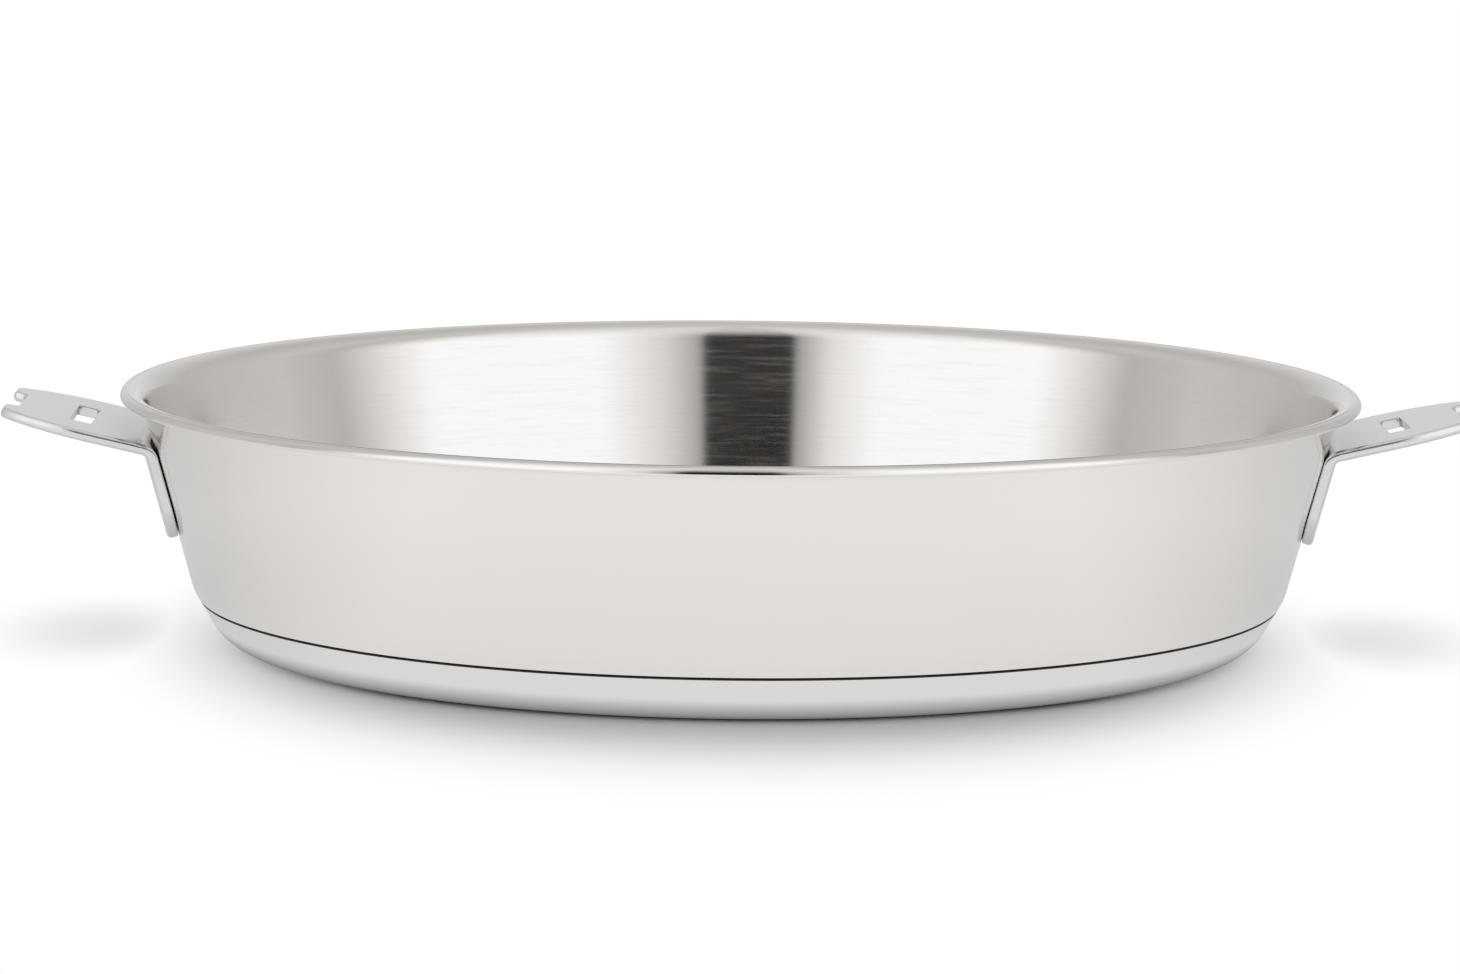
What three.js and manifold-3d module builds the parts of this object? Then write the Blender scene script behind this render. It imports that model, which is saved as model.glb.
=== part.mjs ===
// Steel frying pan with a capsule base and two welded lugs for a detachable handle.
// Millimetres, +Z up. The pan's axis is Z, the table is z = 0 and the lugs stand out along X.

import * as THREE from 'three';
import { mergeVertices } from 'three/addons/utils/BufferGeometryUtils.js';
import Module from 'manifold-3d';

const wasm = await Module();
wasm.setup();

// Bowl: overall size, sheet and wall
const RIM_DIAMETER = 294;
const PAN_HEIGHT = 60;
const BOWL_SHEET = 1.0;
const WALL_LEAN = 15.2; // degrees from upright

// Turned-out lip
const LIP_BEND = 3.0; // radius on the underside
const LIP_DROOP = 30; // degrees below level at the edge
const LIP_TAIL = 0.4; // straight stretch after the bend

// Shoulder between the wall and the base
const SHOULDER_RISE = 2.0; // from the seam up to the bend into the wall
const SHOULDER_LEAN = 30; // degrees from upright
const SHOULDER_BLEND = 10;
const INNER_BLEND = 16;
const BOWL_CORNER = 8; // radius under the bowl, where its floor turns up

// Base: steel capsule with an aluminium disc inside
const CAP_SHEET = 0.6;
const CAP_CORNER = 11;
const DISC_THICKNESS = 4.5;
const DISC_EDGE_RISE = 1.2; // the disc's edge stands this far above its flat top
const BRAZE = 0.3; // layer between the bowl, the disc and the capsule
const CAP_GRIP = 2.0; // straight stretch of the bowl's shoulder that the capsule covers
const SEAM_GAP = 0.5;

// Lug: one blank of sheet, bent once
const LUG_SHEET = 2.5;
const LUG_WIDTH = 53;
const LUG_BEND = 2.0; // radius on the underside
const LUG_EDGE = 0.5; // broken long edges
const LUG_END_EDGE = 0.3; // broken edges of the two ends
const WELD_GAP = 0.3;
const TONGUE_DROP = 11.9; // from the rim's top down to where its upper face would meet the leg
const TONGUE_RISE = 12.8; // degrees
const TONGUE_OVERHANG = 27; // from the rim's edge to the tip, level
const LEG_HEIGHT = 22.1; // from that meeting down to the foot
const LEG_CORNER = 8;
const NOSE_INSET = 8; // each side curves in by this much at the tip
const NOSE_RADIUS = 29;

// Cross slot and fork
const SLOT_LENGTH = 25.5;
const SLOT_WIDTH = 5.0;
const SLOT_CORNER = 0.6;
const SLOT_OVERHANG = 8.4; // from the rim's edge to the slot's middle, level
const FORK_WIDTH = 20;
const FORK_DEPTH = 3;
const FORK_FLARE = 25; // degrees that each side opens outwards
const FORK_CORNER = 1.6;

// Fineness of the facets
const ROUND_FACETS = 64;
const ARC_FACETS = 6;
const LUG_FACETS = 8;
const CUT_MARGIN = 1; // cutters reach this far past what they cut
const SAME_SPOT = 1e-4; // points of an outline nearer than this are one

const { degToRad } = THREE.MathUtils;
const point = (r, z) => new THREE.Vector2(r, z);
const heading = (degrees) => point(Math.cos(degToRad(degrees)), Math.sin(degToRad(degrees)));
const leftOf = (direction) => point(-direction.y, direction.x);
const along = (start, direction, distance) => start.clone().addScaledVector(direction, distance);

// The point where a line meets another line, each given by a point and a heading.
function meeting(pointA, headingA, pointB, headingB) {
  const offset = pointB.clone().sub(pointA);
  return along(pointA, headingA, offset.cross(headingB) / headingA.cross(headingB));
}

// The point of a line at a given height.
function atHeight(start, direction, height) {
  return along(start, direction, (height - start.y) / direction.y);
}

// A path through corners { at, radius }, each corner rounded by an arc tangent to both of its sides.
function roundedPath(path, corners) {
  path.moveTo(corners[0].at.x, corners[0].at.y);
  for (let i = 1; i < corners.length - 1; i += 1) {
    const { at, radius = 0 } = corners[i];
    if (radius === 0) {
      path.lineTo(at.x, at.y);
      continue;
    }
    const arriving = at.clone().sub(corners[i - 1].at).normalize();
    const leaving = corners[i + 1].at.clone().sub(at).normalize();
    const turn = Math.atan2(arriving.cross(leaving), arriving.dot(leaving));
    const start = along(at, arriving, -radius * Math.tan(Math.abs(turn) / 2));
    const centre = along(start, leftOf(arriving), radius * Math.sign(turn));
    const startAngle = Math.atan2(start.y - centre.y, start.x - centre.x);
    path.lineTo(start.x, start.y);
    path.absarc(centre.x, centre.y, radius, startAngle, startAngle + turn, turn < 0);
  }
  const { at: end } = corners.at(-1);
  path.lineTo(end.x, end.y);
  return path;
}

// A body turned about Z from its half section, which runs up the outside and down the inside.
function turned(section) {
  const outline = section.getPoints(ARC_FACETS / 2);
  const apart = outline.filter((spot, i) => i === 0 || spot.distanceTo(outline[i - 1]) > SAME_SPOT);
  return new THREE.LatheGeometry(apart, ROUND_FACETS).rotateX(Math.PI / 2);
}

// Lines that the bowl and its base share, each a point and a heading
const rimRadius = RIM_DIAMETER / 2;
const outward = point(1, 0);
const wallHeading = heading(90 - WALL_LEAN);
const shoulderHeading = heading(90 - SHOULDER_LEAN);
const lipHeading = heading(-LIP_DROOP);
const lipUp = leftOf(lipHeading);
const lipReach = along(lipUp.clone().multiplyScalar(LIP_BEND + BOWL_SHEET / 2), lipHeading, LIP_TAIL).x;
const lipCentre = point(rimRadius - BOWL_SHEET / 2 - lipReach, PAN_HEIGHT - LIP_BEND - BOWL_SHEET);
const lipUnder = along(lipCentre, lipUp, LIP_BEND);
const wallOutside = along(lipCentre, leftOf(wallHeading), LIP_BEND);
const wallInside = along(wallOutside, leftOf(wallHeading), BOWL_SHEET);

// The base is a stack of layers, and the seam lies where the capsule has covered the bowl's corner and
// a stretch of its shoulder.
const bowlUnderside = CAP_SHEET + BRAZE + DISC_THICKNESS + BRAZE;
const bowlFloor = bowlUnderside + BOWL_SHEET;
const cornerTop = bowlUnderside + BOWL_CORNER * (1 - shoulderHeading.x);
const seamTop = cornerTop + CAP_GRIP * shoulderHeading.y - (CAP_SHEET + BRAZE) * shoulderHeading.x;
const seamBottom = seamTop - SEAM_GAP;
const shoulder = atHeight(wallOutside, wallHeading, seamTop + SHOULDER_RISE);
const ledge = along(shoulder, leftOf(shoulderHeading), CAP_SHEET + BRAZE);
const shoulderInside = along(ledge, leftOf(shoulderHeading), BOWL_SHEET);

function bowlGeometry() {
  const seamEdge = atHeight(shoulder, shoulderHeading, seamTop);
  const lipUpper = along(lipUnder, lipUp, BOWL_SHEET);
  const lipEnd = along(lipUnder, lipHeading, LIP_TAIL + BOWL_SHEET / 2);
  const edgeRound = BOWL_SHEET / 2;
  return turned(roundedPath(new THREE.Path(), [
    { at: point(0, bowlUnderside) },
    { at: meeting(point(0, bowlUnderside), outward, ledge, shoulderHeading), radius: BOWL_CORNER },
    { at: along(seamEdge, leftOf(shoulderHeading), CAP_SHEET + BRAZE) },
    { at: seamEdge },
    { at: shoulder, radius: SHOULDER_BLEND },
    { at: meeting(wallOutside, wallHeading, lipUnder, lipHeading), radius: LIP_BEND },
    { at: lipEnd, radius: edgeRound },
    { at: along(lipEnd, lipUp, BOWL_SHEET), radius: edgeRound },
    { at: meeting(lipUpper, lipHeading, wallInside, wallHeading), radius: LIP_BEND + BOWL_SHEET },
    { at: meeting(wallInside, wallHeading, shoulderInside, shoulderHeading), radius: INNER_BLEND },
    {
      at: meeting(shoulderInside, shoulderHeading, point(0, bowlFloor), outward),
      radius: BOWL_CORNER - BOWL_SHEET,
    },
    { at: point(0, bowlFloor) },
  ]));
}

function capGeometry() {
  const edge = atHeight(shoulder, shoulderHeading, seamBottom);
  const inside = along(shoulder, leftOf(shoulderHeading), CAP_SHEET);
  return turned(roundedPath(new THREE.Path(), [
    { at: point(0, 0) },
    { at: meeting(point(0, 0), outward, shoulder, shoulderHeading), radius: CAP_CORNER },
    { at: edge },
    { at: along(edge, leftOf(shoulderHeading), CAP_SHEET) },
    {
      at: meeting(inside, shoulderHeading, point(0, CAP_SHEET), outward),
      radius: CAP_CORNER - CAP_SHEET,
    },
    { at: point(0, CAP_SHEET) },
  ]));
}

// The disc fills the base. Its edge is hollow, to follow the round underside of the bowl.
function discGeometry() {
  const underside = CAP_SHEET + BRAZE;
  const top = underside + DISC_THICKNESS;
  const edgeHeight = top + DISC_EDGE_RISE;
  const outside = along(shoulder, leftOf(shoulderHeading), underside);
  const hollow = BOWL_CORNER + BRAZE;
  const cornerLine = along(ledge, leftOf(shoulderHeading), BOWL_CORNER);
  const centre = atHeight(cornerLine, shoulderHeading, bowlUnderside + BOWL_CORNER);
  const section = roundedPath(new THREE.Path(), [
    { at: point(0, underside) },
    {
      at: meeting(point(0, underside), outward, outside, shoulderHeading),
      radius: CAP_CORNER - underside,
    },
    { at: atHeight(outside, shoulderHeading, edgeHeight) },
  ]);
  const edgeAngle = -Math.asin((centre.y - edgeHeight) / hollow);
  section.absarc(centre.x, centre.y, hollow, edgeAngle, -Math.PI / 2, true);
  section.lineTo(0, top);
  return turned(section);
}

// A closed geometry as a solid for cutting, and back.
function solidOf(geometry) {
  const bare = geometry.clone();
  bare.deleteAttribute('normal');
  bare.deleteAttribute('uv');
  const merged = mergeVertices(bare);
  return new wasm.Manifold(new wasm.Mesh({
    numProp: 3,
    vertProperties: new Float32Array(merged.attributes.position.array),
    triVerts: new Uint32Array(merged.index.array),
  }));
}

function geometryOf(solid) {
  const { vertProperties, triVerts } = solid.getMesh();
  const geometry = new THREE.BufferGeometry();
  geometry.setAttribute('position', new THREE.BufferAttribute(vertProperties, 3));
  geometry.setIndex(new THREE.BufferAttribute(triVerts, 1));
  geometry.computeVertexNormals();
  return geometry;
}

// The lug that stands out along +X. Its middle section runs up the wall, round the bend and out along
// the tongue. Across it, the leg follows the round wall and the tongue is flat.
const tongueHeading = heading(TONGUE_RISE);
const tipRadius = rimRadius + TONGUE_OVERHANG;
const rootHeight = PAN_HEIGHT - TONGUE_DROP;
const footHeight = rootHeight - LEG_HEIGHT;
const wallSeat = along(wallOutside, leftOf(wallHeading), -WELD_GAP);
const tongueRoot = atHeight(wallSeat, wallHeading, rootHeight);
const onTongue = (radius) => (
  along(tongueRoot, tongueHeading, (radius - tongueRoot.x) / tongueHeading.x)
);

// The section of the lug's wall side at a distance across from its middle: places on its leg, bend and
// tongue, each with the direction that points out of the wall side.
function lugSection(across) {
  const onWall = (height) => {
    const radius = atHeight(wallSeat, wallHeading, height).x;
    return point(Math.sqrt(radius ** 2 - across ** 2), height);
  };
  const foot = onWall(footHeight);
  const legHeading = onWall(rootHeight).sub(foot).normalize();
  const corner = meeting(foot, legHeading, tongueRoot, tongueHeading);
  const turn = legHeading.angle() - tongueHeading.angle();
  const reach = LUG_BEND + LUG_SHEET;
  const bendStart = along(corner, legHeading, -reach * Math.tan(turn / 2));
  const centre = along(bendStart, leftOf(legHeading), -reach);

  return {
    leg: (height) => ({ at: atHeight(foot, legHeading, footHeight + height), up: leftOf(legHeading) }),
    bend: (share) => {
      const up = leftOf(legHeading).rotateAround(point(0, 0), -turn * share);
      return { at: along(centre, up, reach), up };
    },
    tongue: (radius) => ({ at: onTongue(radius), up: leftOf(tongueHeading) }),
  };
}

// Stations along the lug, from the foot of its leg to its tip: the half width there, and the place on a
// section. The leg's lower corners are round and the tongue's sides curve in to a nose.
function lugStations() {
  const halfWidth = LUG_WIDTH / 2;
  const stations = [];
  for (let i = 0; i <= ARC_FACETS; i += 1) {
    const angle = (Math.PI / 2) * (i / ARC_FACETS);
    const height = LEG_CORNER * (1 - Math.cos(angle));
    const width = halfWidth - LEG_CORNER * (1 - Math.sin(angle));
    stations.push({ width, place: (section) => section.leg(height) });
  }
  for (let i = 0; i <= ARC_FACETS; i += 1) {
    stations.push({ width: halfWidth, place: (section) => section.bend(i / ARC_FACETS) });
  }
  const noseLength = Math.sqrt(NOSE_RADIUS ** 2 - (NOSE_RADIUS - NOSE_INSET) ** 2);
  const addNose = (run) => {
    const width = halfWidth - NOSE_RADIUS + Math.sqrt(NOSE_RADIUS ** 2 - run ** 2);
    const radius = tipRadius - noseLength + run;
    stations.push({ width, place: (section) => section.tongue(radius) });
  };
  for (let i = 0; i <= ARC_FACETS; i += 1) {
    addNose((noseLength - LUG_END_EDGE) * (i / ARC_FACETS));
  }
  addNose(noseLength);
  return stations;
}

// The ring of points round the sheet at a station, its long edges broken. At an end of the lug the ring
// is drawn in on every side, which breaks the end's edges too.
function lugRing({ width, place }, drawnIn) {
  const spot = (across, depth) => {
    const { at, up } = place(lugSection(across));
    const placed = along(at, up, -depth);
    return new THREE.Vector3(placed.x, across, placed.y);
  };
  const side = width - drawnIn;
  const edge = drawnIn + LUG_EDGE;
  const flat = width - edge;
  const rows = Array.from({ length: LUG_FACETS + 1 }, (_, i) => flat * ((2 * i) / LUG_FACETS - 1));
  return [
    spot(-side, edge),
    ...rows.map((across) => spot(across, drawnIn)),
    spot(side, edge),
    spot(side, LUG_SHEET - edge),
    ...rows.reverse().map((across) => spot(across, LUG_SHEET - drawnIn)),
    spot(-side, LUG_SHEET - edge),
  ];
}

// A closed skin over rings of equally many points. Each end is filled by a strip, because point i of a
// ring lies across the sheet from the point that is i before its end.
function lofted(rings) {
  const count = rings[0].length;
  const faces = [];
  for (let ring = 0; ring < rings.length - 1; ring += 1) {
    for (let i = 0; i < count; i += 1) {
      const a = ring * count + i;
      const b = ring * count + ((i + 1) % count);
      faces.push(a, b + count, b, a, a + count, b + count);
    }
  }
  const last = (rings.length - 1) * count;
  for (let i = 0; i < count / 2 - 1; i += 1) {
    const [a, b, c, d] = [i, i + 1, count - 2 - i, count - 1 - i];
    faces.push(a, b, c, a, c, d);
    faces.push(last + a, last + c, last + b, last + a, last + d, last + c);
  }
  const geometry = new THREE.BufferGeometry().setFromPoints(rings.flat());
  geometry.setIndex(faces);
  return geometry;
}

// A cutter through the tongue: an outline on its upper face, u along the tongue and v across, with its
// origin at the given distance from the pan's axis.
function tongueCutter(corners, radius) {
  const outline = roundedPath(new THREE.Shape(), corners);
  const cutter = new THREE.ExtrudeGeometry(outline, {
    depth: LUG_SHEET + 2 * CUT_MARGIN,
    bevelEnabled: false,
    curveSegments: ARC_FACETS / 2,
  });
  const origin = onTongue(radius);
  const u = new THREE.Vector3(tongueHeading.x, 0, tongueHeading.y);
  const v = new THREE.Vector3(0, 1, 0);
  const up = new THREE.Vector3().crossVectors(u, v);
  const placed = new THREE.Matrix4().makeBasis(u, v, up).setPosition(origin.x, 0, origin.y);
  return cutter.translate(0, 0, -LUG_SHEET - CUT_MARGIN).applyMatrix4(placed);
}

function slotCutter() {
  const u = SLOT_WIDTH / 2;
  const v = SLOT_LENGTH / 2;
  return tongueCutter([
    { at: point(u, 0) },
    { at: point(u, v), radius: SLOT_CORNER },
    { at: point(-u, v), radius: SLOT_CORNER },
    { at: point(-u, -v), radius: SLOT_CORNER },
    { at: point(u, -v), radius: SLOT_CORNER },
    { at: point(u, 0) },
  ], rimRadius + SLOT_OVERHANG);
}

function forkCutter() {
  const root = FORK_WIDTH / 2;
  const mouth = root + (FORK_DEPTH + CUT_MARGIN) * Math.tan(degToRad(FORK_FLARE));
  return tongueCutter([
    { at: point(CUT_MARGIN, 0) },
    { at: point(CUT_MARGIN, mouth) },
    { at: point(-FORK_DEPTH, root), radius: FORK_CORNER },
    { at: point(-FORK_DEPTH, -root), radius: FORK_CORNER },
    { at: point(CUT_MARGIN, -mouth) },
    { at: point(CUT_MARGIN, 0) },
  ], tipRadius);
}

function lugGeometry() {
  const stations = lugStations();
  const ends = [stations[0], stations.at(-1)];
  const rings = stations.map((station) => lugRing(station, ends.includes(station) ? LUG_END_EDGE : 0));
  const blank = solidOf(lofted(rings));
  return geometryOf(blank.subtract(solidOf(slotCutter())).subtract(solidOf(forkCutter())));
}

// Finishes
const satinSteel = { color: 0xd8d6d3, metalness: 1, roughness: 0.3 };
const polishedSteel = { color: 0xdddbd8, metalness: 1, roughness: 0.12 };
const aluminium = { color: 0xc3c6c9, metalness: 1, roughness: 0.45 };

function piece(name, geometry, finish) {
  const mesh = new THREE.Mesh(geometry, new THREE.MeshStandardMaterial(finish));
  mesh.name = name;
  return mesh;
}

const lug = lugGeometry();
const leftLug = piece('left_lug', lug, polishedSteel);
leftLug.rotation.z = Math.PI;

const pan = new THREE.Group();
pan.add(
  piece('pan_bowl', bowlGeometry(), satinSteel),
  piece('heat_spreader_disc', discGeometry(), aluminium),
  piece('base_cap', capGeometry(), polishedSteel),
  piece('right_lug', lug, polishedSteel),
  leftLug,
);

export default pan;
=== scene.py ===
# %% [markdown]
# # A steel frying pan with two lugs
#
# The pan is a pressed steel bowl with a turned-out lip, a steel capsule over a hidden aluminium disc
# underneath, and two bent lugs welded to the wall for a detachable handle. The packed solids give the
# exact place and size of each piece. They are faceted, and polished steel shows every facet, so the
# pieces in view are modelled again here on the same sizes with finer curves and rounded edges.

# %% Load the solids
import math

import bmesh
import bpy
from mathutils import Matrix, Vector


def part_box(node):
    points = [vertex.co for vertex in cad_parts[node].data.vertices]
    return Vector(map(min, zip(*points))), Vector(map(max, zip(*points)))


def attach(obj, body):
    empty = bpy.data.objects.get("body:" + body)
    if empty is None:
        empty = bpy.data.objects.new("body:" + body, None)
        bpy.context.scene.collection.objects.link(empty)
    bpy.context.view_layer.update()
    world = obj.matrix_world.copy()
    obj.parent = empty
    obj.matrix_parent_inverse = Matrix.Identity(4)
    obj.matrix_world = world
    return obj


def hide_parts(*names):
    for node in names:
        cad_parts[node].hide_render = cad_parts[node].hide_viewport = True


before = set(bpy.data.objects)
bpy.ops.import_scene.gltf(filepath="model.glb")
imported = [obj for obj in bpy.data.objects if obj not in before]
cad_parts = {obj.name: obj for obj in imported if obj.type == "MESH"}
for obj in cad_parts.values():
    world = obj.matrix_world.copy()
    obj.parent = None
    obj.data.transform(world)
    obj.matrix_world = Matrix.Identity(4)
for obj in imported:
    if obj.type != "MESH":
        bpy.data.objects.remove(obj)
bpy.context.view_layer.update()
print("solids:", sorted(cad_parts))

# %% [markdown]
# ## Camera
#
# The photograph looks slightly down on the pan through a long lens, which keeps the rim's ellipse flat.
# Place, tilt and focal length were worked out from that ellipse, the seam and the base. A camera can be
# turned by angles, but here its three axes are built as vectors, because the small tilt about the line
# of sight is then one more turn of two of them.

# %% Camera from the photograph
PHOTO_WIDTH = 1460
FOCAL_PIXELS = 6565.5
SENSOR = 36.0
CAMERA_AT = Vector((-0.0127, -1.5465, 0.2438))
PITCH, YAW, ROLL = (math.radians(a) for a in (7.653, 0.383, 0.520))

sight = Vector((math.sin(YAW) * math.cos(PITCH), math.cos(YAW) * math.cos(PITCH), -math.sin(PITCH)))
level = Vector((math.cos(YAW), -math.sin(YAW), 0.0))
upright = level.cross(sight)
right = math.cos(ROLL) * level + math.sin(ROLL) * upright
top = math.cos(ROLL) * upright - math.sin(ROLL) * level

camera_data = bpy.data.cameras.new("photo_camera")
camera_data.sensor_fit = "HORIZONTAL"
camera_data.sensor_width = SENSOR
camera_data.lens = SENSOR * FOCAL_PIXELS / PHOTO_WIDTH
camera_data.clip_end = 100
camera = bpy.data.objects.new("photo_camera", camera_data)
axes = Matrix((right, top, -sight)).transposed().to_4x4()
camera.matrix_world = Matrix.Translation(CAMERA_AT) @ axes
bpy.context.scene.collection.objects.link(camera)
bpy.context.scene.camera = camera
print("lens:", round(camera_data.lens, 1), "mm")

# %% [markdown]
# ## Drawing a profile
#
# Turned and pressed parts start as a line drawn through corners, each rounded by its own radius. The
# points could be computed by hand, but Blender's operators draw them: extruding the last vertex makes a
# straight stroke, and spinning it about a centre makes a true arc. Every stroke also gets a point close
# to each of its ends. Smooth shading blends normals over a whole face, and these short faces keep the
# blend beside the bend, so that flats and straight walls reflect as flats.

# %% A pen that draws with operators
MM = 0.001
ARC_STEP = math.radians(5)
HOLD = 0.25 * MM


def stroke(bm, tip, target):
    """Extrudes the wire's last vertex to target, with a point held near each end."""
    start = tip.co.copy()
    run = target - start
    shares = [1.0]
    if run.length > 4 * HOLD:
        shares = [HOLD / run.length, 1 - HOLD / run.length, 1.0]
    for share in shares:
        tip = bmesh.ops.extrude_vert_indiv(bm, verts=[tip])["verts"][0]
        tip.co = start + share * run
    return tip


def bend(bm, tip, apex, target, radius):
    """Draws to a corner and spins the last vertex round it, so that the arc is tangent to both sides."""
    arriving = (apex - tip.co).normalized()
    leaving = (target - apex).normalized()
    turn = arriving.angle(leaving)
    axis = arriving.cross(leaving).normalized()
    tip = stroke(bm, tip, apex - radius * math.tan(turn / 2) * arriving)
    centre = tip.co + radius * axis.cross(arriving)
    steps = max(3, math.ceil(turn / ARC_STEP))
    spun = bmesh.ops.spin(bm, geom=[tip], cent=centre, axis=axis, angle=turn, steps=steps)
    return next(v for v in spun["geom_last"] if isinstance(v, bmesh.types.BMVert))


def draw(bm, corners):
    """Draws a wire through (point, radius) corners and returns its last vertex."""
    tip = bm.verts.new(corners[0][0])
    for (apex, radius), (target, _) in zip(corners[1:-1], corners[2:]):
        tip = bend(bm, tip, apex, target, radius) if radius else stroke(bm, tip, apex)
    return stroke(bm, tip, corners[-1][0])


trial = bmesh.new()
end = draw(trial, [(Vector((0, 0, 0)), 0), (Vector((1, 0, 0)), 0.5), (Vector((1, 0, 1)), 0)])
print("trial wire ends at", tuple(round(x, 3) for x in end.co), "with", len(trial.verts), "points")
trial.free()

# %% [markdown]
# ## Sizes of the bowl and its base
#
# The half section lies in the XZ plane, with r along X. It is a set of straight lines, each a point and a
# heading, and the corners are where two lines meet. Writing it that way keeps the sheet's two sides
# parallel by construction. A drawing program would snap them; here `intersect_line_line` does.

# %% Lines of the half section
from mathutils.geometry import intersect_line_line

RIM_RADIUS = 146.6 * MM
PAN_HEIGHT = 60.0 * MM
SHEET = 1.0 * MM
FLARE = 5.0 * MM
ROLL_OVER = 1.83 * MM
CAP_SHEET = 0.6 * MM
BRAZE = 0.3 * MM
DISC = 4.5 * MM
BOWL_CORNER = 8.0 * MM
CAP_CORNER = 11.0 * MM
SEAM_GAP = 0.5 * MM
EDGE_ROUND = 0.2 * MM
LIP_DROP = 2.3 * MM
LIP_EDGE_ROUND = 0.45 * SHEET
WALL_LEAN, SHOULDER_LEAN = 15.2, 30
WALL_END_RADIUS, WALL_END_HEIGHT = 141.5085 * MM, 56.7866 * MM
LEDGE_RUN = 2.0 * MM
SHOULDER_RISE = 2.0 * MM
SHOULDER_BEND = 10.0 * MM
SHOULDER_BEND_INSIDE = 16.0 * MM


def spot(r, z):
    """A point of the half section."""
    return Vector((r, 0, z))


def heading(degrees):
    """A direction in the half section, by its angle above the level."""
    return spot(math.cos(math.radians(degrees)), math.sin(math.radians(degrees)))


def left_of(direction):
    """The direction a quarter turn to the left."""
    return spot(-direction.z, direction.x)


def meeting(a, heading_a, b, heading_b):
    """Where the line through a meets the line through b."""
    return intersect_line_line(a, a + heading_a, b, b + heading_b)[0]


def at_height(start, direction, height):
    """The point of a line at a height."""
    return start + (height - start.z) / direction.z * direction


wall_way, shoulder_way = heading(90 - WALL_LEAN), heading(90 - SHOULDER_LEAN)
outward, down = heading(0), heading(-90)
wall = spot(WALL_END_RADIUS, WALL_END_HEIGHT)
wall_inside = wall + SHEET * left_of(wall_way)
underside = CAP_SHEET + BRAZE + DISC + BRAZE
floor_top = underside + SHEET
seam_top = underside + BOWL_CORNER * (1 - shoulder_way.x) + LEDGE_RUN * shoulder_way.z
seam_top -= (CAP_SHEET + BRAZE) * shoulder_way.x
shoulder = at_height(wall, wall_way, seam_top + SHOULDER_RISE)
ledge = shoulder + (CAP_SHEET + BRAZE) * left_of(shoulder_way)
shoulder_inside = ledge + SHEET * left_of(shoulder_way)
print("wall at the lip r", round(wall.x / MM, 2), "mm; seam at z", round(seam_top / MM, 2), "mm")

# %% [markdown]
# ## Bowl
#
# One blank of sheet, pressed and trimmed. Its section is drawn once, from the middle of the underside, up
# the outside, over the lip and back down the inside, and is then spun about Z. `spin` with `use_merge`
# joins the last copy to the first; the points on the axis still lie on top of each other and are merged
# after it. The solid ends in a plain turned-out lip. In the photograph the lip's edge rolls over, with a
# bright line above a dark one, so here it is rolled down by 2.3 mm and ends 0.4 mm nearer to the axis. The
# edge above the seam is rounded by 0.2 mm, because a real trimmed edge catches a thin line of light. 256
# steps keep the rim's outline round to about 0.01 mm.

# %% Spin the bowl
SPIN_STEPS = 256
SAME_PLACE = 0.001 * MM
SHARP_FROM = math.radians(35)


def mesh_object(bm, name):
    """Merges doubles, turns every normal outwards and gives the mesh its own object, shaded smooth."""
    bmesh.ops.remove_doubles(bm, verts=bm.verts, dist=SAME_PLACE)
    bmesh.ops.recalc_face_normals(bm, faces=bm.faces)
    mesh = bpy.data.meshes.new(name)
    bm.to_mesh(mesh)
    bm.free()
    mesh.shade_smooth()
    mesh.set_sharp_from_angle(angle=SHARP_FROM)
    made = bpy.data.objects.new(name, mesh)
    bpy.context.scene.collection.objects.link(made)
    return made


def spun(name, corners):
    """Draws a half section and spins it about Z."""
    bm = bmesh.new()
    draw(bm, corners)
    wire = bm.verts[:] + bm.edges[:]
    bmesh.ops.spin(
        bm, geom=wire, cent=(0, 0, 0), axis=(0, 0, 1), angle=math.tau, steps=SPIN_STEPS, use_merge=True
    )
    return mesh_object(bm, name)


seam_edge = at_height(shoulder, shoulder_way, seam_top)
lip_top = spot(RIM_RADIUS, PAN_HEIGHT)
lip_under = lip_top - SHEET * (outward - down)
lip_foot = lip_top + LIP_DROP * down
bowl = spun("pan_bowl_steel", [
    (spot(0, underside), 0),
    (meeting(spot(0, underside), outward, ledge, shoulder_way), BOWL_CORNER),
    (seam_edge + (CAP_SHEET + BRAZE) * left_of(shoulder_way), 0),
    (seam_edge, EDGE_ROUND),
    (shoulder, SHOULDER_BEND),
    (meeting(wall, wall_way, lip_under, outward), FLARE - SHEET),
    (lip_under, ROLL_OVER - SHEET),
    (lip_foot - SHEET * outward, LIP_EDGE_ROUND),
    (lip_foot, LIP_EDGE_ROUND),
    (lip_top, ROLL_OVER),
    (meeting(lip_top, outward, wall_inside, wall_way), FLARE),
    (meeting(wall_inside, wall_way, shoulder_inside, shoulder_way), SHOULDER_BEND_INSIDE),
    (meeting(shoulder_inside, shoulder_way, spot(0, floor_top), outward), BOWL_CORNER - SHEET),
    (spot(0, floor_top), 0),
])
print(bowl.name, "faces:", len(bowl.data.polygons), "size:", tuple(round(x, 4) for x in bowl.dimensions))

# %% [markdown]
# ## Base cap
#
# A thinner pressing brazed over the disc. It shares the shoulder's line with the bowl, 0.5 mm below it, so
# the two run on in one sweep with a fine groove between them. Its foot turns in by a large radius, which
# is what lifts its edge off the table in the photograph and leaves the soft dark line under the pan.

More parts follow.
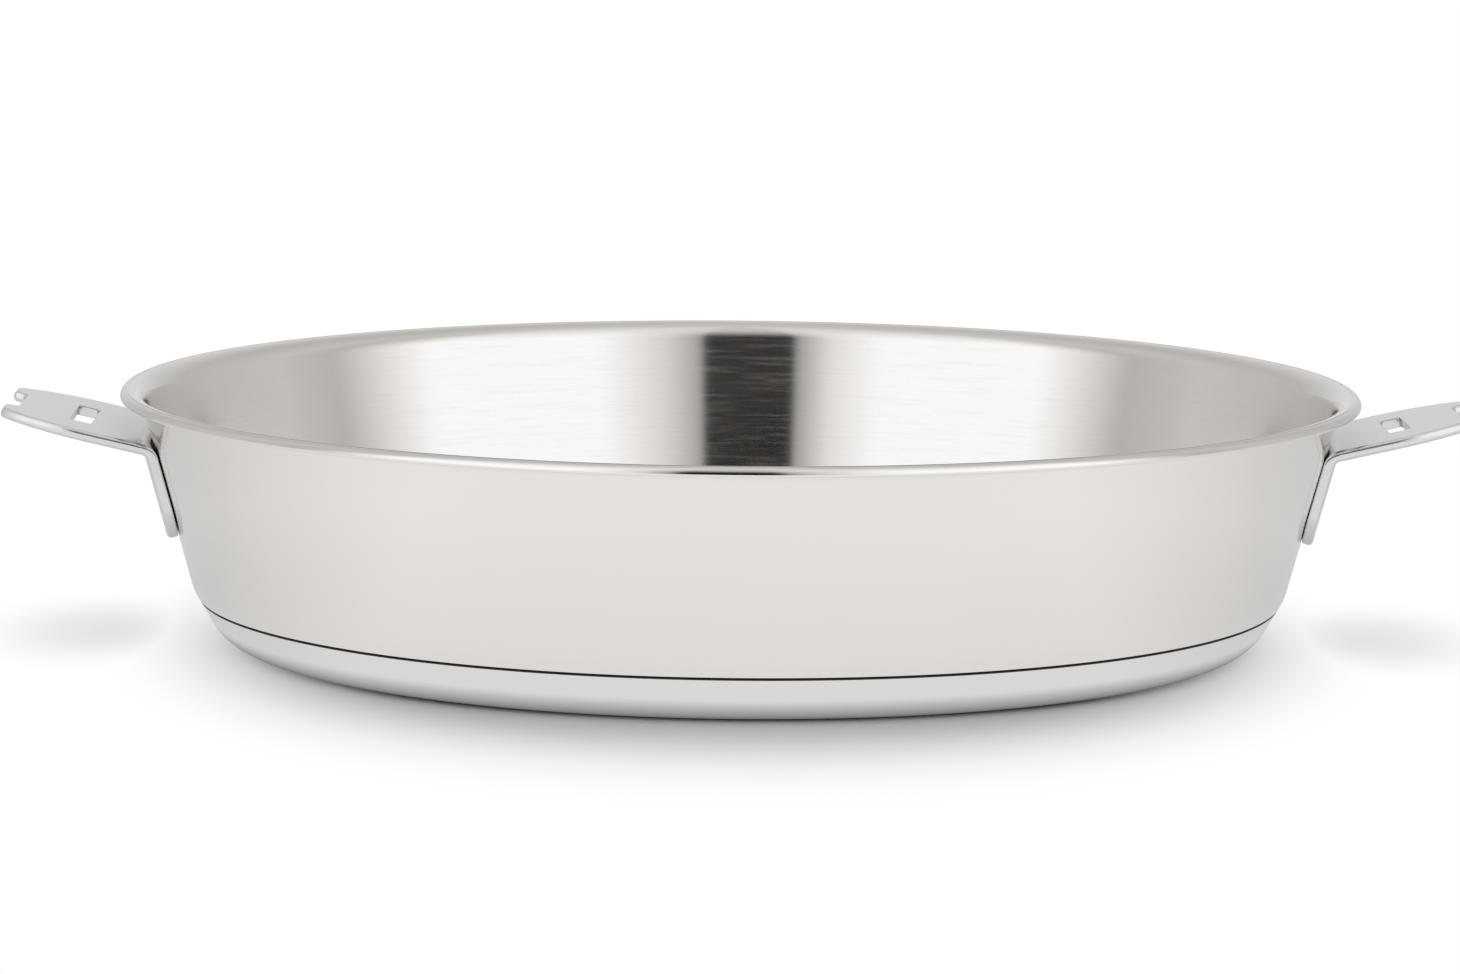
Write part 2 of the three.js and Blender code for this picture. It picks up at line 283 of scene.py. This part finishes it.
# %% Spin the cap
cap_edge = at_height(shoulder, shoulder_way, seam_top - SEAM_GAP)
cap_inside = shoulder + CAP_SHEET * left_of(shoulder_way)
cap = spun("base_cap_steel", [
    (spot(0, 0), 0),
    (meeting(spot(0, 0), outward, shoulder, shoulder_way), CAP_CORNER),
    (cap_edge, EDGE_ROUND),
    (cap_edge + CAP_SHEET * left_of(shoulder_way), 0),
    (meeting(cap_inside, shoulder_way, spot(0, CAP_SHEET), outward), CAP_CORNER - CAP_SHEET),
    (spot(0, CAP_SHEET), 0),
])
print(cap.name, "faces:", len(cap.data.polygons), "size:", tuple(round(x, 4) for x in cap.dimensions))

# %% [markdown]
# ## Lugs
#
# Each lug is a flat blank, cut out with its slot and fork and then bent once, so that is how it is made
# here. Half of the blank's outline is drawn with the pen, the slot being a notch in the middle line, and
# mirrored to the other half. The sheet is extruded to its thickness and its edges are bevelled while it
# is flat, where a bevel has no corners to fight with: by 0.9 mm round the outside, where a hand can touch
# it, and by 0.3 mm round the slot, which stays crisp for the handle's hook. Cuts across and along then
# give the faces that the bend needs.

# %% Cut the flat blank
LUG_SHEET = 2.5 * MM
LUG_HALF = 26.5 * MM
LEG_CORNER = 8.0 * MM
NOSE_RADIUS = 29.0 * MM
NOSE_INSET = 8.0 * MM
TIP_STRAIGHT = 1.0 * MM
SLOT_HALF_LENGTH = 12.75 * MM
SLOT_HALF_WIDTH = 2.5 * MM
SLOT_AT = 155.4 * MM
TIP_AT = 173.2 * MM
FORK_HALF = 10.0 * MM
FORK_DEPTH = 3.0 * MM
FORK_FLARE = math.radians(25)
TONGUE_RISE = 12.8
SLOT_CORNER = 0.6 * MM
PRONG_OUTSIDE = 1.6 * MM
PRONG_INSIDE = 1.3 * MM
FORK_CORNER = 1.6 * MM
OUTER_EDGE = 0.9 * MM
SLOT_EDGE = 0.3 * MM
RIM_FROM = math.radians(60)

# Along the flat blank the leg, the bend and the stretch up to the slot get plain lengths. From FLAT_FROM
# on, a place along the blank is its true distance from the pan's axis, measured on the level.
LEG_FROM, BEND_FROM, BEND_TO, FLAT_FROM = (x * MM for x in (115.0, 135.0, 140.0, 150.0))


def flat(u, v):
    """A point of the flat blank: u along it and v across."""
    return Vector((u, v, 0))


nose_run = math.sqrt(NOSE_RADIUS**2 - (NOSE_RADIUS - NOSE_INSET) ** 2)
nose_angle = math.asin((nose_run - TIP_STRAIGHT) / NOSE_RADIUS)
nose_corner = flat(TIP_AT - nose_run + NOSE_RADIUS * math.tan(nose_angle / 2), LUG_HALF)
tip_half = LUG_HALF - NOSE_RADIUS * (1 - math.cos(nose_angle)) - TIP_STRAIGHT * math.tan(nose_angle)
on_the_level = math.cos(math.radians(TONGUE_RISE))
fork_root = TIP_AT - FORK_DEPTH * on_the_level
fork_mouth = FORK_HALF + FORK_DEPTH * math.tan(FORK_FLARE)
slot_half = SLOT_HALF_WIDTH * on_the_level
half_outline = [
    (flat(SLOT_AT + slot_half, 0), 0),
    (flat(SLOT_AT + slot_half, SLOT_HALF_LENGTH), SLOT_CORNER),
    (flat(SLOT_AT - slot_half, SLOT_HALF_LENGTH), SLOT_CORNER),
    (flat(SLOT_AT - slot_half, 0), 0),
    (flat(LEG_FROM, 0), 0),
    (flat(LEG_FROM, LUG_HALF), LEG_CORNER),
    (nose_corner, NOSE_RADIUS),
    (flat(TIP_AT, tip_half), PRONG_OUTSIDE),
    (flat(TIP_AT, fork_mouth), PRONG_INSIDE),
    (flat(fork_root, FORK_HALF), FORK_CORNER),
    (flat(fork_root, 0), 0),
]
blank = bmesh.new()
draw(blank, half_outline)
blank.faces.new(blank.verts)
half = blank.verts[:] + blank.edges[:] + blank.faces[:]
bmesh.ops.mirror(blank, geom=half, axis="Y", merge_dist=SAME_PLACE)
raised = bmesh.ops.extrude_face_region(blank, geom=blank.faces[:])["geom"]
under = [v for v in raised if isinstance(v, bmesh.types.BMVert)]
bmesh.ops.translate(blank, vec=(0, 0, -LUG_SHEET), verts=under)
bmesh.ops.recalc_face_normals(blank, faces=blank.faces)
rims = [e for e in blank.edges if e.calc_face_angle() > RIM_FROM]
slot_reach = Vector((slot_half, SLOT_HALF_LENGTH)) + Vector((SAME_PLACE, SAME_PLACE))
slot_rims = [e for e in rims if all(
    abs(v.co.x - SLOT_AT) < slot_reach.x and abs(v.co.y) < slot_reach.y for v in e.verts
)]
outer_rims = [e for e in rims if e not in slot_rims]
for edges, width in ((slot_rims, SLOT_EDGE), (outer_rims, OUTER_EDGE)):
    bmesh.ops.bevel(
        blank, geom=edges, offset=width, offset_type="OFFSET",
        segments=5, profile=0.5, affect="EDGES", material=-1,
    )
leftover = [v for v in blank.verts if len(v.link_edges) == 2]
bmesh.ops.dissolve_verts(blank, verts=leftover)
print("dissolved", len(leftover), "points that only split a straight edge")
print("flat blank:", len(blank.faces), "faces, thickness", round(LUG_SHEET / MM, 2), "mm")

# %% [markdown]
# ## Bending the blank
#
# A bend that follows a round wall isn't one of Blender's simple deformations: the leg is curved across,
# the tongue is flat, and the bend runs between them. Each point of the blank is moved by the rule that
# a press would follow. At its distance across, the leg lies on the wall's circle, the tongue on its own
# plane, and a constant radius joins the two; `slerp` turns the sheet's outward direction smoothly from
# one to the other. On the leg's wall side the rounded edge is narrowed first, because it is welded tight
# there and shows only a fine line. The other lug is a copy, turned half a turn about Z. Both sit a little
# out of true in the photograph, so each is turned at the end by its own small angle about X.

# %% Bend it to the wall and the tongue
LUG_BEND = 2.0 * MM
ROOT_DROP = 11.45 * MM
LEG_HEIGHT = 22.5 * MM
ROOT_HEIGHT = PAN_HEIGHT - ROOT_DROP
FOOT_HEIGHT = ROOT_HEIGHT - LEG_HEIGHT
WELD_GAP = 0.15 * MM
WELD_EDGE = 0.5 * MM
RIGHT_TWIST, LEFT_TWIST = -1.03, 0.54
tongue_way = heading(TONGUE_RISE)
tongue_up = left_of(tongue_way)
wall_seat = wall - WELD_GAP * left_of(wall_way)
tongue_root = at_height(wall_seat, wall_way, ROOT_HEIGHT)


def share_of(low, high, value):
    """How far a value lies from low to high, as 0 to 1."""
    return (value - low) / (high - low)


def tightened(co):
    """Narrows the rounded edge on the leg's wall side, and fades that out through the bend."""
    from_foot, from_side = co.x - LEG_FROM, LUG_HALF - abs(co.y)
    if max(from_foot, from_side) < LEG_CORNER:
        outwards = Vector((LEG_CORNER - from_foot, LEG_CORNER - from_side))
        inside = LEG_CORNER - outwards.length
    else:
        outwards = Vector((1, 0)) if from_foot < from_side else Vector((0, 1))
        inside = min(from_foot, from_side)
    edge_point = inside < OUTER_EDGE + SAME_PLACE and co.z > -OUTER_EDGE - SAME_PLACE
    if not edge_point or co.x > BEND_TO:
        return co
    scale = WELD_EDGE / OUTER_EDGE
    scale += (1 - scale) * max(0, share_of(BEND_FROM, BEND_TO, co.x))
    shift = (1 - scale) * inside * outwards.normalized()
    return Vector((co.x - shift.x, co.y + math.copysign(shift.y, co.y), scale * co.z))


def bent(co):
    """Where a point of the flat blank lies on the bent lug."""

    def on_wall(height):
        return spot(math.sqrt(at_height(wall_seat, wall_way, height).x ** 2 - co.y**2), height)

    foot = on_wall(FOOT_HEIGHT)
    leg_way = (on_wall(ROOT_HEIGHT) - foot).normalized()
    corner = meeting(foot, leg_way, tongue_root, tongue_way)
    reach = LUG_BEND + LUG_SHEET
    setback = reach * math.tan(leg_way.angle(tongue_way) / 2)
    bend_start = corner - setback * leg_way
    if co.x < BEND_FROM:
        up = left_of(leg_way)
        height = FOOT_HEIGHT + min(co.x - LEG_FROM, LEG_CORNER)
        rest = max(0, share_of(LEG_FROM + LEG_CORNER, BEND_FROM, co.x))
        at = at_height(foot, leg_way, height + rest * (bend_start.z - height))
    elif co.x < BEND_TO:
        up = left_of(leg_way).slerp(tongue_up, share_of(BEND_FROM, BEND_TO, co.x))
        at = bend_start + reach * (up - left_of(leg_way))
    else:
        up = tongue_up
        bend_end = (corner + setback * tongue_way).x
        missing = max(0, 1 - share_of(BEND_TO, FLAT_FROM, co.x))
        radius = co.x + missing * (bend_end - BEND_TO)
        at = tongue_root + (radius - tongue_root.x) / tongue_way.x * tongue_way
    placed = at + co.z * up
    return Vector((placed.x, co.y, placed.z))


def cut(bm, place, across):
    """Splits every face that a plane crosses."""
    everything = bm.verts[:] + bm.edges[:] + bm.faces[:]
    bmesh.ops.bisect_plane(bm, geom=everything, plane_co=place * across, plane_no=across, dist=SAME_PLACE)


LEG_CUTS, LEG_STEP = 7, 2.5 * MM
BEND_CUTS = 14
BESIDE_BEND = (0.3 * MM, 4 * MM)
SIDE_CUTS, SIDE_STEP = 7, 3.3 * MM
along_cuts = [LEG_FROM + i * LEG_STEP for i in range(1, LEG_CUTS + 1)]
along_cuts += [BEND_FROM + i * (BEND_TO - BEND_FROM) / BEND_CUTS for i in range(BEND_CUTS + 1)]
along_cuts += [BEND_TO + distance for distance in BESIDE_BEND] + [FLAT_FROM]
for place in along_cuts:
    cut(blank, place, Vector((1, 0, 0)))
for step in range(-SIDE_CUTS, SIDE_CUTS + 1):
    cut(blank, step * SIDE_STEP, Vector((0, 1, 0)))
for vert in blank.verts:
    vert.co = bent(tightened(vert.co))
turned = blank.copy()
bmesh.ops.rotate(turned, cent=(0, 0, 0), matrix=Matrix.Rotation(math.pi, 3, "Z"), verts=turned.verts)
for lug, out_of_true in ((blank, RIGHT_TWIST), (turned, LEFT_TWIST)):
    twist = Matrix.Rotation(math.radians(out_of_true), 3, "X")
    bmesh.ops.rotate(lug, cent=(0, 0, ROOT_HEIGHT), matrix=twist, verts=lug.verts)
right_lug = mesh_object(blank, "right_lug_steel")
left_lug = mesh_object(turned, "left_lug_steel")
for lug in (right_lug, left_lug):
    weighted = lug.modifiers.new("flat_faces_stay_flat", "WEIGHTED_NORMAL")
    weighted.keep_sharp = True
    print(lug.name, "faces:", len(lug.data.polygons), "size:", tuple(round(x, 4) for x in lug.dimensions))

# %% [markdown]
# ## Seating the pieces on the frame
#
# Each piece is listed with the solid it stands for and a finish of the record, and moves with the root body.
# The aluminium disc is closed in by the cap, so its solid is kept as it is.

# %% Tie the pieces to the solids
for piece, node, finish in (
    (bowl, "pan_bowl", "bowl_steel"),
    (cap, "base_cap", "base_steel"),
    (right_lug, "right_lug", "lug_steel"),
    (left_lug, "left_lug", "lug_steel"),
):
    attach(piece, "root")
    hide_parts(node)
    low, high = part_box(node)
    drawn = [Vector(c) for c in piece.bound_box]
    over = max(max(max(c) for c in (drawn[6] - high, low - drawn[0])), 0)
    print(node, "reaches past its solid by", round(over / MM, 2), "mm")

# %% [markdown]
# ## Writing shaders as formulas
#
# Steel is hardly ever one even colour: it has a grain from polishing and a slight haze. Those are built
# from noise and a little arithmetic, and a page of node-linking calls hides that arithmetic. This class
# wraps one socket, so that `0.2 + 0.1 * grain` adds the Math nodes by itself. Its one method makes any
# other node from its type, its settings and the values or links of its sockets.

# %% Sockets that can be added and multiplied
class Wire:
    """An output socket of a node tree, on which Python's operators add Math nodes."""

    def __init__(self, tree, socket=None):
        self.tree = tree
        self.socket = socket

    def node(self, kind, settings=None, sockets=None, out=0):
        made = self.tree.nodes.new("ShaderNode" + kind)
        for name, value in (settings or {}).items():
            if name == "stops":
                for place, _ in value[1:-1]:
                    made.color_ramp.elements.new(place)
                for element, (_, level) in zip(made.color_ramp.elements, value):
                    element.color = (level, level, level, 1)
            else:
                setattr(made, name, value)
        for name, value in (sockets or {}).items():
            if isinstance(value, Wire):
                self.tree.links.new(value.socket, made.inputs[name])
            else:
                made.inputs[name].default_value = value
        return Wire(self.tree, made.outputs[out] if made.outputs else None)

    def math(self, operation, a, b=0.0):
        return self.node("Math", {"operation": operation}, {0: a, 1: b})

    def __add__(self, other):
        return self.math("ADD", self, other)

    def __sub__(self, other):
        return self.math("SUBTRACT", self, other)

    def __rsub__(self, other):
        return self.math("SUBTRACT", other, self)

    def __mul__(self, other):
        return self.math("MULTIPLY", self, other)

    def __truediv__(self, other):
        return self.math("DIVIDE", self, other)

    __radd__ = __add__
    __rmul__ = __mul__


def new_material(name):
    """An empty material and the wire to start its nodes from."""
    material = bpy.data.materials.new(name)
    material.use_nodes = True
    material.node_tree.nodes.clear()
    return material, Wire(material.node_tree)


print("a wire can:", [name for name, value in vars(Wire).items() if callable(value)])

# %% [markdown]
# ## Steel
#
# The bowl is polished outside and brushed round its axis inside. Brushing does two things. It smears
# reflections across the lines, so a dark upright shape keeps sharp sides but loses its top and bottom.
# That is the shader's anisotropy: its tangent runs round the object's Z axis, and a quarter turn sets the
# smear across it. The deeper scratches also scatter light from the whole room, which shows as pale lines
# where something dark is mirrored. One rough shader can't do both, so a dull one is mixed in along the
# scratches only. The lines are noise, sampled finely along the section (r + z grows along both the wall
# and the floor) and hardly at all round the pan. The lugs look tumbled rather than buffed, so they have an
# even veil of the dull shader over the shine.

# %% Steel finishes
STEEL = (0.785, 0.757, 0.733)
CAP_STEEL = (0.775, 0.76, 0.75)
SCRATCH = (0.8, 0.72, 0.64)
DULL = 0.6
QUARTER_TURN = 0.25
OFF_AXIS = 1e-8


def steel(name, tint, roughness, smear=0.0, veil=0.0, scratches=0.0, dull_tint=None):
    """Steel with a grain round Z, and a share of dull steel over it, even or along scratches."""
    material, start = new_material(name)
    place = start.node("TexCoord", out="Object")
    x, y, z = (start.node("SeparateXYZ", None, {0: place}, out=i) for i in range(3))
    radius = start.math("SQRT", x * x + y * y + OFF_AXIS)

    def lines(around, across):
        along = start.node("CombineXYZ", None, {
            0: around * x / radius, 1: around * y / radius, 2: across * (radius + z),
        })
        return start.node("TexNoise", None, {"Vector": along, "Scale": 1.0, "Detail": 3.0, "Roughness": 0.6})

    grain = lines(5.0, 2600.0)
    haze = start.node("TexNoise", None, {"Vector": place, "Scale": 28.0, "Detail": 3.0, "Roughness": 0.55})
    shade = 1 + 0.02 * (grain - 0.5) + 0.03 * (haze - 0.5)
    colour = start.node("VectorMath", {"operation": "SCALE"}, {0: tint, "Scale": shade})
    bump = start.node("Bump", None, {"Strength": 1.0, "Distance": 0.0004 * MM, "Height": grain})
    surface = start.node("BsdfPrincipled", None, {
        "Base Color": colour,
        "Metallic": 1.0,
        "Roughness": roughness * (1 + 0.4 * (haze - 0.5) + 0.8 * (grain - 0.5)),
        "Anisotropic": smear,
        "Anisotropic Rotation": QUARTER_TURN,
        "Normal": bump,
    })
    share = veil
    if scratches:
        streaks = start.node("MapRange", None, {
            "Value": lines(8.0, 850.0), "From Min": 0.5, "From Max": 0.75,
        })
        share = scratches * streaks
    if veil or scratches:
        dull = start.node("BsdfPrincipled", None, {
            "Base Color": (*(dull_tint or tint), 1), "Metallic": 1.0, "Roughness": DULL,
        })
        surface = start.node("MixShader", None, {0: share, 1: surface, 2: dull})
    start.node("OutputMaterial", None, {"Surface": surface})
    print(name, "nodes:", len(material.node_tree.nodes))
    return material


polished = steel("polished_steel", STEEL, 0.10)
brushed = steel("brushed_steel", STEEL, 0.12, smear=0.95, scratches=0.14, dull_tint=SCRATCH)
cap_steel = steel("polished_cap_steel", CAP_STEEL, 0.10)
lug_steel = steel("polished_lug_steel", CAP_STEEL, 0.09, veil=0.3)
right_lug.data.materials.append(lug_steel)
left_lug.data.materials.append(lug_steel)

# %% [markdown]
# The bowl has three finishes on one mesh: a material slot each, and every face picks one by its direction.
# Inside means facing the axis, or facing up below the lip. Where the cap covers the bowl, and on the cap's
# own upward faces, the steel is painted dark and dull. This is painted shade, so that the groove between the
# two shows a dark line.

# %% Inside, outside and underside of the bowl
# Painted shade: a dark, dull steel for the bowl's faces under the cap and the cap's upward faces, which
# darkens the groove between them.
GROOVE_SHADE_DARK = (0.05, 0.046, 0.042)
OUTSIDE, INSIDE, UNDER_CAP = range(3)
TURNED = 0.3
groove_shade, start = new_material("groove_shade_steel")
place = start.node("TexCoord", out="Object")
mottle = start.node("TexNoise", None, {"Vector": place, "Scale": 300.0, "Detail": 3.0})
start.node("OutputMaterial", None, {"Surface": start.node("BsdfPrincipled", None, {
    "Base Color": start.node("VectorMath", {"operation": "SCALE"}, {
        0: GROOVE_SHADE_DARK, "Scale": 0.7 + 0.6 * mottle,
    }),
    "Metallic": 0.3,
    "Roughness": 0.6 + 0.2 * mottle,
})})
for finish in (polished, brushed, groove_shade):
    bowl.data.materials.append(finish)
for finish in (cap_steel, groove_shade):
    cap.data.materials.append(finish)
# Painted shade: the cap's upward faces, its inside and its edge in the groove, take the dark steel.
for face in cap.data.polygons:
    face.material_index = int(face.normal.z > 0)
for face in bowl.data.polygons:
    radial = Vector((face.center.x, face.center.y, 0)).normalized()
    facing_in = face.normal.dot(radial) < -TURNED
    facing_up = face.normal.z > TURNED and face.center.z < wall_inside.z
    under_cap = face.normal.z < 0 and face.center.z < seam_top + 0.01 * MM
    covered = UNDER_CAP if under_cap else OUTSIDE
    face.material_index = INSIDE if facing_in or facing_up else covered
for index, finish in enumerate(bowl.data.materials):
    print(finish.name, "faces:", sum(f.material_index == index for f in bowl.data.polygons))

# %% [markdown]
# ## Aluminium disc
#
# It is closed in and never seen, but its solid still gets a finish, so that the part stays complete when
# someone cuts it open: plain grey metal with the mottling of rolled sheet.

# %% Aluminium
ALUMINIUM = (0.76, 0.77, 0.79)
aluminium, start = new_material("rolled_aluminium")
place = start.node("TexCoord", out="Object")
mottle = start.node("TexNoise", None, {"Vector": place, "Scale": 90.0, "Detail": 4.0, "Roughness": 0.6})
start.node("OutputMaterial", None, {"Surface": start.node("BsdfPrincipled", None, {
    "Base Color": start.node("VectorMath", {"operation": "SCALE"}, {
        0: ALUMINIUM, "Scale": 0.92 + 0.16 * mottle,
    }),
    "Metallic": 1.0,
    "Roughness": 0.35 + 0.2 * mottle,
})})
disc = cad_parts["heat_spreader_disc"]
disc.data.materials.clear()
disc.data.materials.append(aluminium)
print(disc.name, "has", disc.data.materials[0].name)

# %% [markdown]
# ## Studio
#
# Polished steel shows the room, so the room is what has to be right. The photograph's own reflections say
# what stood there: a bright screen on each side of the camera, a dark strip behind it, dimmer walls with
# darker corners at the sides and the back, and a soft light overhead. Area lamps could stand in for them,
# but each would have to be placed by trial, and moving one changes the shadows too. Here the world is the
# room: a curve of brightness over the compass angle, going over into the overhead light with height. Where
# a screen is brighter than white it turns slightly cool, as an overexposed one does. Light Path shares out
# the work: mirrored rays see the room, diffuse rays get plain even light, and camera rays see white.

# %% World
world = bpy.data.worlds.new("studio")
world.use_nodes = True
world.node_tree.nodes.clear()
bpy.context.scene.world = world
start = Wire(world.node_tree)
way = start.node("TexCoord", out="Generated")
x, y, z = (start.node("SeparateXYZ", None, {0: way}, out=i) for i in range(3))
compass = start.math("ARCTAN2", x, 0 - y)
# Brightness by the angle from the camera's side of the room, to the right when positive.
BACK, CORNER, SIDE, SCREEN = 0.75, 0.56, 0.67, 1.25
LEFT_WALL = [(-180, BACK), (-145, CORNER), (-108, SIDE), (-88, CORNER)]
LEFT_SCREEN = [(-66, SCREEN), (-31, SCREEN), (-20, 0.95), (-12, 0.35)]
DARK_STRIP = [(-11.4, 0.0), (7, 0.0)]
RIGHT_SCREEN = [(7.6, 0.4), (15, 0.8), (30, SCREEN), (68, SCREEN)]
RIGHT_WALL = [(92, CORNER), (108, SIDE), (145, CORNER), (180, BACK)]
room_round = LEFT_WALL + LEFT_SCREEN + DARK_STRIP + RIGHT_SCREEN + RIGHT_WALL
around = start.node("ValToRGB", {
    "stops": [((degrees + 180) / 360, level) for degrees, level in room_round],
}, {"Fac": 0.5 + compass / math.tau})
WALLS_TO, CEILING_FROM = 0.36, 1.15
CEILING, CEILING_TILT = 0.72, 0.3
LESS_RED, MORE_BLUE = 0.16, 0.13
EVEN_LIGHT = 1.05
STRAY_LIGHT, STRAY_TINT = 0.01, (1.0, 0.84, 0.7, 1)
overhead = start.node("MapRange", {"interpolation_type": "SMOOTHSTEP"}, {
    "Value": z, "From Min": WALLS_TO, "From Max": CEILING_FROM,
})
room = around + overhead * (CEILING - CEILING_TILT * y - around)
dazzle = start.math("MAXIMUM", room - 1, 0.0)
tint = start.node("CombineColor", None, {0: 1 - LESS_RED * dazzle, 1: 1.0, 2: 1 + MORE_BLUE * dazzle})
PATH_FACTS = ("Is Camera Ray", "Is Glossy Ray", "Diffuse Depth")
path = {name: start.node("LightPath", out=name) for name in PATH_FACTS}
mirrored = path["Is Glossy Ray"] * start.math("LESS_THAN", path["Diffuse Depth"], 0.5)
even = EVEN_LIGHT * (1 - path["Is Glossy Ray"]) * (1 - path["Is Camera Ray"])
light = start.node("Background", None, {
    "Color": tint, "Strength": mirrored * room + even + path["Is Camera Ray"],
})
stray = start.node("Background", None, {"Color": STRAY_TINT, "Strength": STRAY_LIGHT * mirrored})
start.node("OutputWorld", None, {"Surface": start.node("AddShader", None, {0: light, 1: stray})})
print("world nodes:", len(world.node_tree.nodes))

# %% [markdown]
# ## Floor
#
# The photograph's floor is white right up to its edges, and only soft shadows are left: one round the base
# and a faint one under each lug. A plain white floor under this light comes out a little grey, and more
# light would wash out the shadows. So the floor is matt paper where soft ovals say that a shadow falls, and
# for camera rays it goes over into plain white outside them. The steel needs a floor as well, because the
# outer wall leans out and mirrors little else. Mirrored rays see a painted brightness of its own instead of
# the paper's shading. It has a painted shadow that is dark beside the base, painted shade near the pan at
# the sides and back, and it is paler towards the camera.

# %% Floor
FLOOR_HALF = 12
FLOOR_DROP = 0.05 * MM
bm = bmesh.new()
bmesh.ops.create_grid(bm, x_segments=1, y_segments=1, size=FLOOR_HALF)
bmesh.ops.translate(bm, vec=(0, 0, -FLOOR_DROP), verts=bm.verts)
floor = mesh_object(bm, "floor")
paper, start = new_material("white_paper")
path = {name: start.node("LightPath", out=name) for name in PATH_FACTS}
place = start.node("TexCoord", out="Object")
x, y = (start.node("SeparateXYZ", None, {0: place}, out=i) for i in range(2))
radius = start.math("SQRT", x * x + y * y + OFF_AXIS)
# Painted light and shadow that mirrored rays see, by the distance from the axis and by the direction from
# it.
BASE_FROM, BASE_RUN = 0.110, 0.090
# Painted shadow: dark right beside the base, going over to full brightness further out.
PAINTED_BASE_SHADOW = [(0.110, 0.1), (0.118, 0.2), (0.127, 0.9), (0.2, 1.0)]
beside = start.node("ValToRGB", {
    "stops": [((r - BASE_FROM) / BASE_RUN, level) for r, level in PAINTED_BASE_SHADOW],
}, {"Fac": (radius - BASE_FROM) / BASE_RUN})
# Painted falloff of light: darker towards the back, paler towards the camera.
TOWARDS_CAMERA = [(-1, 0.6), (0, 0.8), (0.7, 1.02), (1, 1.0)]
facing = start.node("ValToRGB", {
    "stops": [(0.5 + 0.5 * towards, level) for towards, level in TOWARDS_CAMERA],
}, {"Fac": 0.5 - 0.5 * y / radius})
DIM_FROM, DIM_TO, DIM_BY, DIM_LIMIT = 0.13, 0.2, 0.1, 0.6
near = start.node("MapRange", None, {
    "Value": radius, "From Min": DIM_FROM, "From Max": DIM_TO, "To Min": DIM_BY, "To Max": 0.0,
})
# Painted shade near the pan at its sides and back.
dimmer = near * start.math("MINIMUM", 1 + y / radius, DIM_LIMIT)
first_bounce = start.math("LESS_THAN", path["Diffuse Depth"], 0.5)
# An emission for mirrored rays that carries this painted light and shadow.
glow = start.node("Emission", None, {"Color": (beside * facing - dimmer) * first_bounce, "Strength": 1.0})


def patch(east, north, half_x, half_y, inner, outer, depth):
    """A soft oval on the floor: `depth` in its middle and 0 past `outer` half widths."""
    across, along = (start.math("ABSOLUTE", x) - east) / half_x, (y - north) / half_y
    away = start.math("SQRT", across * across + along * along)
    return start.node("MapRange", {"interpolation_type": "SMOOTHSTEP"}, {
        "Value": away, "From Min": inner, "From Max": outer, "To Min": depth, "To Max": 0.0,
    })


round_base = patch(east=0.0, north=0.0, half_x=0.128, half_y=0.205, inner=0.70, outer=1.2, depth=1.0)
under_lugs = patch(east=0.156, north=0.004, half_x=0.022, half_y=0.045, inner=0.2, outer=1.5, depth=0.46)
shadowed = start.math("MAXIMUM", round_base, under_lugs)
white = start.node("Emission", None, {"Color": (1, 1, 1, 1), "Strength": 1.0})
PAPER = (0.97, 0.97, 0.97)
grain = start.node("TexNoise", None, {"Vector": place, "Scale": 60.0, "Detail": 2.0})
matt = start.node("BsdfDiffuse", None, {
    "Color": start.node("VectorMath", {"operation": "SCALE"}, {0: PAPER, "Scale": 0.99 + 0.02 * grain}),
})
seen = start.node("MixShader", None, {0: path["Is Camera Ray"] * (1 - shadowed), 1: matt, 2: white})
start.node("OutputMaterial", None, {
    "Surface": start.node("MixShader", None, {0: path["Is Glossy Ray"], 1: seen, 2: glow}),
})
floor.data.materials.append(paper)
print("floor size:", tuple(round(x, 1) for x in floor.dimensions))

# %% [markdown]
# ## Finish
#
# The picture is shown without a film look, so that greys keep the values that they were set to.

# %% Film look
view_settings = bpy.context.scene.view_settings
view_settings.view_transform = "Standard"
